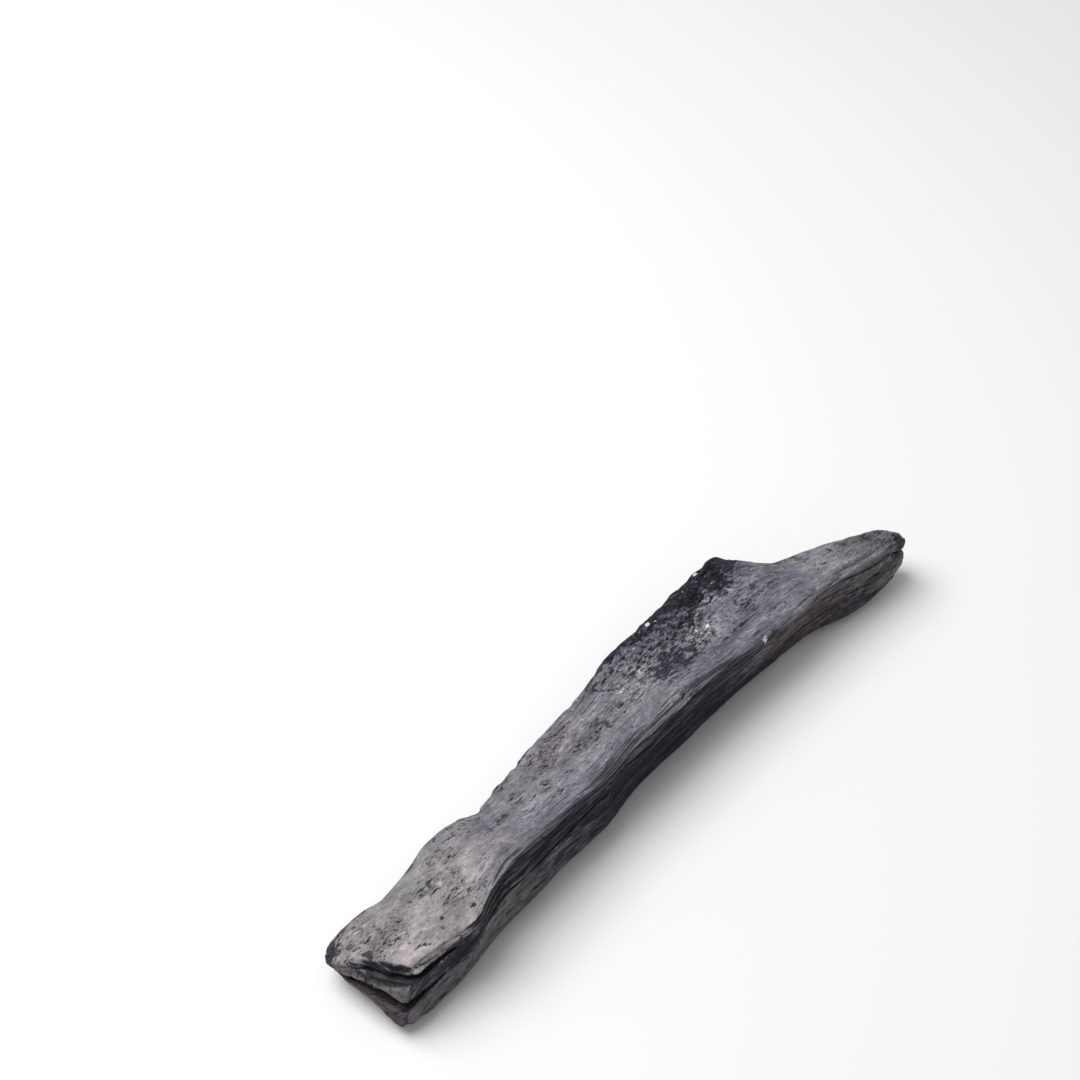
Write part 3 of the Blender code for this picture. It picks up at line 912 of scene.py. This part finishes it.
class Wires:
    """Makes the nodes of one material, one node a call."""

    def __init__(self, name):
        self.material = bpy.data.materials.new(name)
        self.material.use_nodes = True
        self.tree = self.material.node_tree
        self.tree.nodes.clear()

    def node(self, kind, inputs=None, **settings):
        """A new node with these values or links on its inputs, and these settings."""
        made = self.tree.nodes.new("ShaderNode" + kind)
        for name, value in settings.items():
            setattr(made, name, value)
        for key, value in (inputs or {}).items():
            self.put(made.inputs[key], value)
        return made

    def put(self, socket, value):
        """Links a socket to another, or sets its number or colour."""
        if isinstance(value, bpy.types.NodeSocket):
            self.tree.links.new(value, socket)
        elif socket.type == "RGBA" and len(value) == 3:
            socket.default_value = (*value, 1.0)
        else:
            socket.default_value = value

    def number(self, name):
        """The stored number of that name."""
        return self.node("Attribute", attribute_name=name).outputs["Fac"]

    def place(self, name):
        """The stored direction or place of that name."""
        return self.node("Attribute", attribute_name=name).outputs["Vector"]

    def math(self, operation, first, second):
        """One sum of two numbers."""
        return self.node("Math", {0: first, 1: second}, operation=operation).outputs[0]

    def plus(self, first, second):
        """Two numbers added."""
        return self.math("ADD", first, second)

    def minus(self, first, second):
        """The first number less the second."""
        return self.math("SUBTRACT", first, second)

    def times(self, first, second):
        """Two numbers multiplied."""
        return self.math("MULTIPLY", first, second)

    def rescaled(self, place, sizes):
        """A place divided by a size along each axis."""
        return self.node("VectorMath", {0: place, 1: sizes}, operation="DIVIDE").outputs[0]

    def noise(self, place, sizes, detail=2.0, roughness=0.55):
        """Noise from 0 to 1 whose waves have these sizes."""
        inputs = {
            "Vector": self.rescaled(place, sizes), "Scale": 1.0, "Detail": detail, "Roughness": roughness,
        }
        return self.node("TexNoise", inputs).outputs[0]

    def bent(self, place, source, sizes, amount):
        """A place moved about by up to half the amount, with waves of these sizes."""
        inputs = {"Vector": self.rescaled(source, sizes), "Scale": 1.0, "Detail": 1.0}
        sway = self.node("TexNoise", inputs).outputs["Color"]
        reach = (amount, 0.5 * amount, 0.5 * amount)
        return self.node("VectorMath", {0: sway, 1: reach, 2: place}, operation="MULTIPLY_ADD").outputs[0]

    def cells(self, place, sizes):
        """The distance to the nearest of many scattered points."""
        inputs = {"Vector": self.rescaled(place, sizes), "Scale": 1.0}
        return self.node("TexVoronoi", inputs).outputs["Distance"]

    def between(self, value, low, high, out_low=0.0, out_high=1.0):
        """A number carried from one range to another with a smooth change."""
        inputs = {
            "Value": value, "From Min": low, "From Max": high, "To Min": out_low, "To Max": out_high,
        }
        return self.node("MapRange", inputs, interpolation_type="SMOOTHSTEP").outputs["Result"]

    def varied(self, value, noise, amount, margin=0.3):
        """A number that noise raises and lowers by up to this amount."""
        return self.plus(value, self.between(noise, margin, 1.0 - margin, -amount, amount))

    def mix(self, share, first, second, blend="MIX"):
        """Two colours mixed."""
        inputs = {0: share, 6: first, 7: second}
        return self.node("Mix", inputs, data_type="RGBA", blend_type=blend, clamp_factor=True).outputs[2]

    def shaded(self, colour, shade):
        """A colour multiplied by a number or by another colour."""
        return self.mix(1.0, colour, shade, "MULTIPLY")

    def finish(self, inputs):
        """The material, with these values and links on its shader."""
        shader = self.node("BsdfPrincipled", inputs)
        self.node("OutputMaterial", {"Surface": shader.outputs["BSDF"]})
        return self.material


class Ground:
    """The stored numbers and the noises that the steps of the charcoal's finish share."""

    def __init__(self, wires):
        self.pale, self.knot, self.side, self.pitted = (
            wires.number(name) for name in ("pale", "knot", "side", "pitted")
        )
        grain, spot, slant = (wires.place(name) for name in ("grain", "spot", "slant"))
        bent = wires.bent(grain, spot, (3.0, 2.2, 2.2), 2.6)
        slant = wires.bent(slant, spot, (2.6, 1.8, 1.8), 2.2)
        self.patches = wires.noise(spot, (17, 12, 12), 2.0)
        self.smudge = wires.noise(spot, (30, 10, 10), 2.0)
        self.mottle = wires.noise(spot, (6, 4, 4), 3.0, 0.6)
        self.grit = wires.noise(spot, (1.2, 0.85, 0.85), 3.0, 0.65)
        self.streaks = wires.noise(grain, (34, 1.5, 1.5), 3.0, 0.6)
        self.stripes = wires.noise(grain, (26, 0.95, 0.95), 3.0, 0.6)
        self.fine = wires.noise(grain, (8, 0.65, 0.65), 3.0, 0.65)
        self.hairs = wires.noise(grain, (16, 0.55, 0.55), 2.0, 0.55)
        self.dashes = wires.noise(slant, (2.3, 0.55, 0.55), 2.0, 0.6)
        self.strokes = wires.noise(slant, (6.0, 0.75, 0.75), 3.0, 0.65)
        self.crackle = wires.noise(bent, (2.2, 1.0, 1.0), 5.0, 0.8)
        self.crumbs = wires.noise(bent, (1.2, 0.75, 0.75), 3.0, 0.7)
        self.blots = wires.noise(bent, (3.4, 1.5, 1.5), 3.0, 0.65)
        self.cells = wires.cells(bent, (5.2, 3.4, 3.4))


def top_colour(wires, ground, colours):
    """The burnt top: from pale grey to blue-grey, with warm patches and lines along the fibres."""
    share = wires.varied(ground.pale, ground.patches, 0.25)
    top = wires.mix(share, colours.blue_grey, colours.light_grey)
    warm = wires.times(wires.number("pink"), wires.between(ground.mottle, 0.3, 0.6))
    stray = wires.times(wires.between(ground.patches, 0.54, 0.7), 0.1)
    top = wires.mix(wires.math("MAXIMUM", warm, stray), top, colours.beige)
    swing = wires.minus(1.3, wires.times(ground.pale, 0.8))
    return wires.shaded(top, wires.plus(1.0, wires.times(wires.minus(ground.streaks, 0.5), swing)))


def side_colour(wires, ground, colours):
    """The split wall and broken end: from soot to light grey along the fibres, brown in places."""
    tone = wires.varied(wires.number("tone"), ground.streaks, 0.4, 0.25)
    tone = wires.varied(tone, ground.mottle, 0.12)
    tone = wires.varied(tone, ground.fine, 0.22)
    side = wires.mix(wires.between(tone, 0.0, 0.5), colours.soot, colours.wall)
    side = wires.mix(wires.between(tone, 0.5, 1.1), side, colours.wall_light)
    rust = wires.times(wires.number("brown"), wires.between(tone, 0.1, 0.9, 0.2, 0.9))
    return wires.mix(rust, side, colours.brown)


def mottled(wires, ground, colours, colour, brushed):
    """The colour with its uneven shade, and duller where the pits are."""
    blots = wires.between(ground.blots, 0.34, 0.66, 0.8, 1.2)
    for shade in (
        wires.between(ground.mottle, 0.25, 0.75, 0.8, 1.2),
        wires.between(ground.grit, 0.3, 0.7, 0.82, 1.18),
        wires.plus(1.0, wires.times(brushed, 3.0)),
        wires.between(ground.smudge, 0.36, 0.6, 0.78, 1.1),
        wires.mix(wires.times(ground.pale, 0.6), blots, (1.0, 1.0, 1.0)),
    ):
        colour = wires.shaded(colour, shade)
    dusk = wires.times(wires.between(ground.pitted, 0.2, 0.8), wires.between(ground.mottle, 0.4, 0.6))
    return wires.mix(wires.times(dusk, 0.4), colour, colours.wall)


def rubbed(wires, ground, colours, colour):
    """The colour with light strokes, pale scuffs, and crests lightened partly as wear and partly as a
    painted highlight.
    """
    stroke = wires.minus(0.55, wires.times(ground.pale, 0.35))
    stroke = wires.times(stroke, wires.between(ground.strokes, 0.54, 0.68))
    colour = wires.mix(stroke, colour, wires.shaded(colour, (1.9, 1.9, 1.9)))
    scuff = wires.times(wires.number("scuff"), wires.between(ground.crackle, 0.54, 0.38))
    colour = wires.mix(scuff, colour, colours.scuff)
    # Painted highlight, partly wear: bulging crests are lightened.
    crest_wear_and_highlight = wires.times(wires.between(wires.number("crest_wear_and_highlight"), 0.55, 0.85), 0.4)
    return wires.mix(crest_wear_and_highlight, colour, wires.shaded(colour, (1.6, 1.6, 1.6)))


def sooted(wires, ground, colours, colour):
    """The colour under patches of soot, and under the arris's black band with its light stripes."""
    reach = wires.varied(wires.number("soot"), ground.streaks, 0.25, 0.25)
    reach = wires.varied(reach, ground.crackle, 0.35)
    soot = wires.mix(wires.between(ground.crackle, 0.56, 0.38), colours.soot, colours.soot_light)
    soot = wires.mix(wires.between(ground.crumbs, 0.56, 0.66, 0.0, 0.5), soot, colours.blue_grey)
    colour = wires.mix(wires.between(reach, 0.3, 0.8, 0.0, 0.94), colour, soot)
    band = wires.varied(wires.number("band"), ground.streaks, 0.35)
    band = wires.varied(band, ground.hairs, 0.2)
    soot = wires.mix(wires.between(ground.fine, 0.35, 0.65), colours.soot, colours.soot_light)
    soot = wires.mix(wires.between(ground.stripes, 0.48, 0.6, 0.0, 0.95), soot, colours.wall_light)
    return wires.mix(wires.between(band, 0.3, 0.75, 0.0, 0.9), colour, soot)


def dark_marks(wires, ground):
    """How strong the short flecks, the hair lines along the fibres and the knot's burnt bits are."""
    patchy = wires.between(ground.mottle, 0.42, 0.62, 0.0, 0.07)
    strewn = wires.times(patchy, wires.between(ground.pale, 1.0, 0.2))
    dense = wires.plus(wires.times(ground.pitted, 0.13), strewn)
    flecks = wires.between(wires.plus(ground.dashes, dense), 0.66, 0.74, 0.0, 0.8)
    lines = wires.minus(ground.hairs, wires.times(ground.pale, 0.08))
    lines = wires.between(wires.plus(lines, wires.times(ground.side, 0.05)), 0.6, 0.68, 0.0, 0.6)
    burnt = wires.times(wires.between(ground.crackle, 0.5, 0.6), wires.times(ground.knot, 0.7))
    return flecks, lines, burnt


def ash_specks(wires, ground):
    """How strong the white specks are: scattered ones on the knot, and the placed ones."""
    specks = wires.between(ground.cells, 0.12, 0.08)
    specks = wires.times(specks, wires.between(ground.knot, 0.4, 0.9))
    specks = wires.times(specks, wires.between(ground.grit, 0.4, 0.6))
    placed = wires.varied(wires.number("ash"), ground.grit, 0.35)
    return wires.math("MAXIMUM", specks, wires.between(placed, 0.4, 0.6))


def charcoal_finish(colours):
    """Charcoal: mottled grey on top, dark in the hollows and on the split wall, partly from soot and
    partly as painted shade, darker underneath as painted shade, with ash specks.
    """
    wires = Wires("charcoal")
    ground = Ground(wires)
    brushed = wires.minus(0.46, wires.times(ground.pale, 0.3))
    brushed = wires.plus(brushed, wires.times(ground.side, 0.3))
    brushed = wires.times(wires.minus(ground.fine, 0.5), brushed)
    marks = dark_marks(wires, ground)

    border = wires.varied(ground.side, ground.streaks, 0.3)
    border = wires.varied(border, ground.hairs, 0.25)
    top, side = top_colour(wires, ground, colours), side_colour(wires, ground, colours)
    colour = wires.mix(wires.between(border, 0.3, 0.7), top, side)
    colour = mottled(wires, ground, colours, colour, brushed)
    colour = rubbed(wires, ground, colours, colour)
    colour = sooted(wires, ground, colours, colour)
    for mark in marks:
        colour = wires.mix(mark, colour, colours.soot)
    # Painted shade, partly soot: pits, cracks, the splits and spots hidden from the sky are darkened
    # towards the hollow colour.
    hollow_dark_and_painted_shade = wires.varied(wires.number("hollow_dark_and_painted_shade"), ground.grit, 0.25)
    colour = wires.mix(wires.between(hollow_dark_and_painted_shade, 0.25, 0.9, 0.0, 0.88), colour, colours.pit)
    # Painted shade on the underside and on the low foot of the sides.
    colour = wires.mix(wires.times(wires.number("low"), 0.7), colour, colours.pit)
    colour = wires.mix(ash_specks(wires, ground), colour, colours.ash)

    height = wires.times(ground.streaks, 0.5)
    for part, share in zip((brushed, ground.grit, *marks), (2.4, 0.7, -0.7, -0.6, -0.9)):
        height = wires.plus(height, wires.times(part, share))
    bump = wires.node("Bump", {"Strength": 0.9, "Distance": colours.bump_height, "Height": height})
    return wires.finish(
        {
            "Base Color": colour,
            "Roughness": wires.between(ground.grit, 0.3, 0.7, 0.5, 0.72),
            "Specular IOR Level": 0.14,
            "Normal": bump.outputs["Normal"],
        }
    )


RELIEF_NAMES = ("lump", "fibre", "pit", "crack", "knot", "end", "chip")


def depth(name, description, millimetres):
    """A property for a depth or size."""
    return FloatProperty(
        name=name,
        description=description,
        default=millimetres * MM,
        min=0.0,
        soft_max=0.004,
        precision=5,
        unit="LENGTH",
        subtype="DISTANCE",
    )


def paint(name, description, red, green, blue):
    """A property for a colour."""
    return FloatVectorProperty(
        name=name,
        description=description,
        default=(red, green, blue),
        size=3,
        min=0.0,
        max=1.0,
        subtype="COLOR",
    )


class CharcoalStickSizes(bpy.types.PropertyGroup):
    """Sizes of the stick's relief."""

    detail: depth("Detail", "Width of the small faces across the grain", 0.47)
    lump: depth("Lumps", "Height of the broad swells", 0.55)
    fibre: depth("Fibres", "Height of the fibre ridges", 0.2)
    pit: depth("Pits", "Depth of the short pits", 0.75)
    crack: depth("Cracks", "Depth of the long cracks on the wall", 0.8)
    knot: depth("Knot", "Depth of the craters on the knot", 1.3)
    end: depth("Broken end", "Height of the layers on the broken end", 0.55)
    chip: depth("Crumbling", "Depth of the crumbling along the edges", 0.6)
    sag: depth("Sag", "How far the layers over the splits sag into them", 1.0)


class CharcoalColours(bpy.types.PropertyGroup):
    """Colours of the charcoal."""

    light_grey: paint("Light grey", "Burnt top near the broken end", 0.26, 0.248, 0.255)
    blue_grey: paint("Blue grey", "Burnt top towards the tip", 0.148, 0.149, 0.179)
    beige: paint("Beige", "Warm patches", 0.305, 0.266, 0.266)
    scuff: paint("Rubbed", "Crests that are rubbed pale", 0.4, 0.388, 0.39)
    # The split wall's colours are partly its own soot and partly painted shade.
    wall: paint("Wall", "Split wall", 0.024, 0.0235, 0.034)
    wall_light: paint("Wall streaks", "Lighter streaks on the split wall", 0.125, 0.117, 0.123)
    soot: paint("Soot", "Blue-black soot", 0.0075, 0.0067, 0.0135)
    brown: paint("Brown", "Brown tint on the wall and the bottom layer", 0.09, 0.067, 0.069)
    soot_light: paint("Worn soot", "Soot with the grey showing through", 0.028, 0.0265, 0.04)
    # The hollow colour also paints the shade in the splits, in spots hidden from the sky and on the
    # underside.
    pit: paint("Hollow", "Inside pits and cracks", 0.008, 0.0075, 0.01)
    ash: paint("Ash", "White ash specks", 0.72, 0.72, 0.69)
    bump_height: FloatProperty(
        name="Fine relief",
        description="Height of the finest relief",
        default=0.00028,
        min=0.0,
        soft_max=0.002,
        precision=5,
        unit="LENGTH",
        subtype="DISTANCE",
    )


class CharcoalStageSettings(bpy.types.PropertyGroup):
    """Floor, light and camera."""

    floor: paint("Floor", "Colour of the floor", 0.86, 0.86, 0.865)
    key_power: FloatProperty(
        name="Key light", description="Power of the soft light above", default=17.0, min=0.0, unit="POWER"
    )
    sky: FloatProperty(
        name="Sky", description="Strength of the pale surroundings", default=0.42, min=0.0
    )
    azimuth: FloatProperty(
        name="Azimuth", description="How far round the stick the camera stands",
        default=math.radians(-49.0), subtype="ANGLE", unit="ROTATION",
    )
    elevation: FloatProperty(
        name="Elevation", description="How high above the stick the camera stands",
        default=math.radians(45.0), subtype="ANGLE", unit="ROTATION",
    )
    distance: FloatProperty(
        name="Distance", description="From the camera to the point it looks at",
        default=0.742, min=0.05, unit="LENGTH", subtype="DISTANCE",
    )
    aim: FloatVectorProperty(
        name="Aim", description="Point that the camera looks at",
        default=(0.0161, 0.0598, 0.0624), size=3, unit="LENGTH", subtype="TRANSLATION",
    )
    lens: FloatProperty(
        name="Lens", description="Focal length in mm", default=65.0, min=10.0, subtype="NONE"
    )


class CHARCOAL_OT_make_stick(bpy.types.Operator):
    """Make the stick's skin with its grain, pits, knot and splits"""

    bl_idname = "charcoal.make_stick"
    bl_label = "Make Stick"
    bl_options = {"REGISTER", "UNDO"}

    def execute(self, context):
        sizes = context.scene.charcoal_sizes
        mesh = even_skin(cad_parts[NODE], sizes.detail)
        mesh.name = "stick_skin"
        edges = read(mesh.edges, "vertices", 2, int)
        points = smoothed(read(mesh.vertices, "co", 3) / MM, edges, 3)
        rounded = smoothed(points, edges, 14)
        at_tip = eased(128, 138, points[:, 0])[:, None]
        points = points + (rounded - points) * at_tip
        points = relayered(straight_edge(points))
        lower, upper = layer_heights(points, 1.0)[1:3]
        points = sagged(points, UPPER_SPLIT, upper, sizes.sag / MM)
        points = sagged(points, LOWER_SPLIT, lower, sizes.sag / MM)
        write_points(mesh, points)
        lie = Lie(points, read(mesh.vertex_normals, "vector", 3))
        faces = [tuple(face.vertices) for face in mesh.polygons]
        hidden = shelter(points, lie.normals, faces)
        lift, density, dark, chip = relief(lie, sizes)
        points = points + lift[:, None] * lie.normals
        low, high = np.array(CAD_BOX) / MM
        points = np.clip(points, low - PROUD, high + PROUD)
        if not np.isfinite(points).all():
            raise RuntimeError("The stick's skin has points without a place")
        write_points(mesh, points)

        normals = read(mesh.vertex_normals, "vector", 3)
        # How far each point bulges out; the finish lightens the bulges, partly as wear and partly as a
        # painted highlight.
        bulge = ((points - neighbour_mean(points, edges)) * normals).sum(1)
        bulge = smoothed(bulge, edges, 1)
        crest_wear_and_highlight = np.clip(0.5 + bulge / 0.16, 0.0, 1.0)
        stored = zone_values(lie, density, dark, chip, hidden, crest_wear_and_highlight)
        stored.update(grain=lie.grain, slant=slanted(lie.grain), spot=lie.points)
        for name, values in stored.items():
            store(mesh, name, values)

        mesh.polygons.foreach_set("use_smooth", [True] * len(mesh.polygons))
        mesh.materials.clear()
        mesh.materials.append(charcoal_finish(context.scene.charcoal_colours))
        stick = bpy.data.objects.new("stick", mesh)
        context.scene.collection.objects.link(stick)
        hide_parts(NODE)
        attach(stick, "root")
        return {"FINISHED"}


def put_facing(data, place, target):
    """A light or camera put at a place and turned to a target."""
    made = bpy.data.objects.new(data.name, data)
    made.location = place
    made.rotation_mode = "QUATERNION"
    made.rotation_quaternion = (target - place).to_track_quat("-Z", "Y")
    bpy.context.scene.collection.objects.link(made)
    return made


class CHARCOAL_OT_set_stage(bpy.types.Operator):
    """Set the floor, the soft light and the camera"""

    bl_idname = "charcoal.set_stage"
    bl_label = "Set Stage"
    bl_options = {"REGISTER", "UNDO"}

    def execute(self, context):
        settings = context.scene.charcoal_stage
        mesh = bpy.data.meshes.new("floor")
        signs = ((-1, -1), (1, -1), (1, 1), (-1, 1))
        corners = [(x * FLOOR_REACH, y * FLOOR_REACH, 0) for x, y in signs]
        mesh.from_pydata(corners, [], [(0, 1, 2, 3)])
        floor = bpy.data.objects.new("floor", mesh)
        context.scene.collection.objects.link(floor)
        paint_inputs = {"Base Color": settings.floor, "Roughness": 0.75}
        mesh.materials.append(Wires("floor_paint").finish(paint_inputs))

        world = bpy.data.worlds.new("pale_room")
        world.use_nodes = True
        background = world.node_tree.nodes["Background"]
        background.inputs["Color"].default_value = (1.0, 1.0, 1.0, 1.0)
        background.inputs["Strength"].default_value = settings.sky
        context.scene.world = world
        context.scene.view_settings.view_transform = "Standard"

        light = bpy.data.lights.new("key_light", "AREA")
        light.shape = "SQUARE"
        light.size = 1.0
        light.energy = settings.key_power
        put_facing(light, Vector(KEY_LIGHT_AT), Vector((0.0, 0.0, 0.0)))

        level = math.cos(settings.elevation)
        turn = settings.azimuth
        back = Vector((math.sin(turn) * level, -math.cos(turn) * level, math.sin(settings.elevation)))
        camera = bpy.data.cameras.new("camera")
        camera.lens = settings.lens
        camera.sensor_width = 36.0
        aim = Vector(settings.aim)
        context.scene.camera = put_facing(camera, aim + back * settings.distance, aim)
        return {"FINISHED"}


class CHARCOAL_PT_panel(bpy.types.Panel):
    """Sizes, colours and steps of the charcoal stick"""

    bl_idname = "CHARCOAL_PT_panel"
    bl_label = "Charcoal Stick"
    bl_space_type = "VIEW_3D"
    bl_region_type = "UI"
    bl_category = "Charcoal"

    def draw(self, context):
        for group in (
            context.scene.charcoal_sizes,
            context.scene.charcoal_colours,
            context.scene.charcoal_stage,
        ):
            box = self.layout.box()
            for name in group.__annotations__:
                box.prop(group, name)
        for step in STEPS:
            self.layout.operator(step.bl_idname)


GROUPS = (
    ("charcoal_sizes", CharcoalStickSizes),
    ("charcoal_colours", CharcoalColours),
    ("charcoal_stage", CharcoalStageSettings),
)
STEPS = (CHARCOAL_OT_make_stick, CHARCOAL_OT_set_stage)


def register():
    """Makes the classes and the scene's settings known to Blender."""
    for name, group in GROUPS:
        bpy.utils.register_class(group)
        setattr(bpy.types.Scene, name, PointerProperty(type=group))
    for step in (*STEPS, CHARCOAL_PT_panel):
        bpy.utils.register_class(step)


def unregister():
    """Takes the classes and the settings away again."""
    for step in reversed((*STEPS, CHARCOAL_PT_panel)):
        bpy.utils.unregister_class(step)
    for name, group in reversed(GROUPS):
        delattr(bpy.types.Scene, name)
        bpy.utils.unregister_class(group)


def main():
    """Makes everything in order."""
    register()
    bpy.ops.charcoal.make_stick()
    bpy.ops.charcoal.set_stage()


if __name__ == "__main__":
    main()
